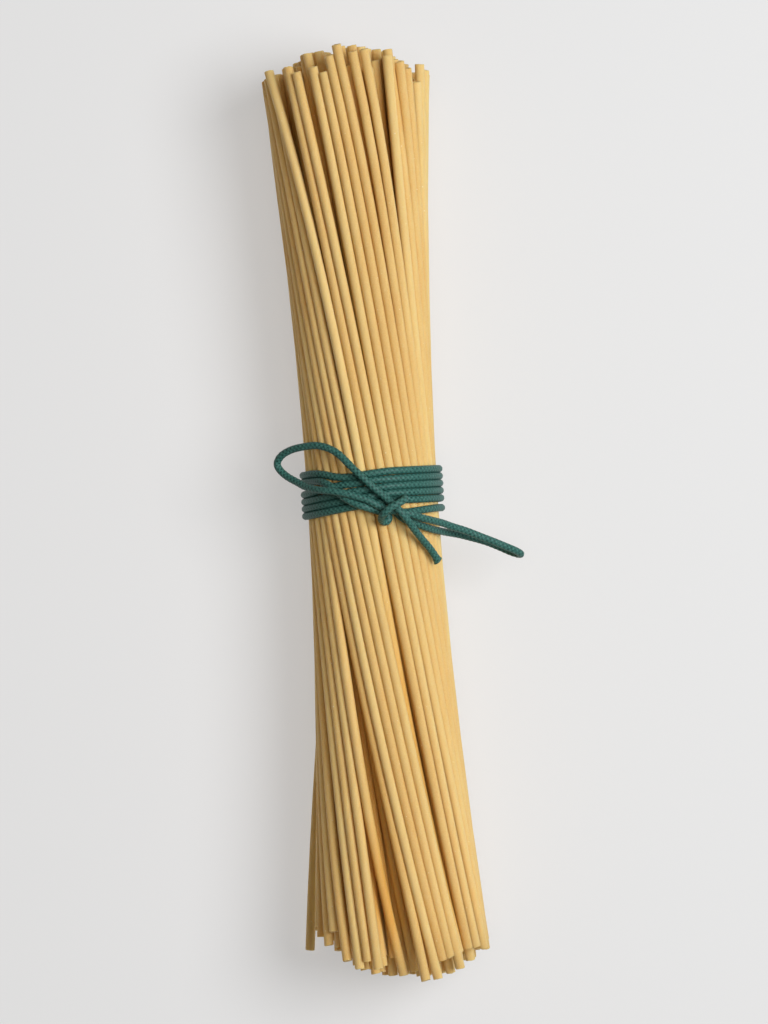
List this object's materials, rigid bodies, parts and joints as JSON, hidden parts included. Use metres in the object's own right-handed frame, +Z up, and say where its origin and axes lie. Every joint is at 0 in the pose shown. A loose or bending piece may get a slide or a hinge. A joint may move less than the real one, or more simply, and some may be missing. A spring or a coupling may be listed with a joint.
{
  "type": "bundle of dry bucatini",
  "caption": "Bundle of long dry hollow pasta, wound slightly and tied round its waist with a thin waxed cord and a small bow, lying on its side.",
  "frame": {"origin": "the middle of the noodles' footprint on the surface that the bundle lies on", "axes": "+Y along the bundle, +X to its right as seen from above, +Z up towards the bow"},
  "size_m": [0.0694, 0.2642, 0.0476],
  "materials": {
    "dry_pasta": "dry durum wheat pasta, pale golden and matt, with a fine floury grain",
    "waxed_cord": "thin braided cotton cord, dark green, with a soft waxed sheen"
  },
  "bodies": {
    "root": {"pasta_bundle": "dry_pasta", "cord_windings": "waxed_cord", "cord_knot": "waxed_cord", "cord_left_loop": "waxed_cord", "cord_right_loop": "waxed_cord", "cord_free_end": "waxed_cord"}
  },
  "joints": []
}
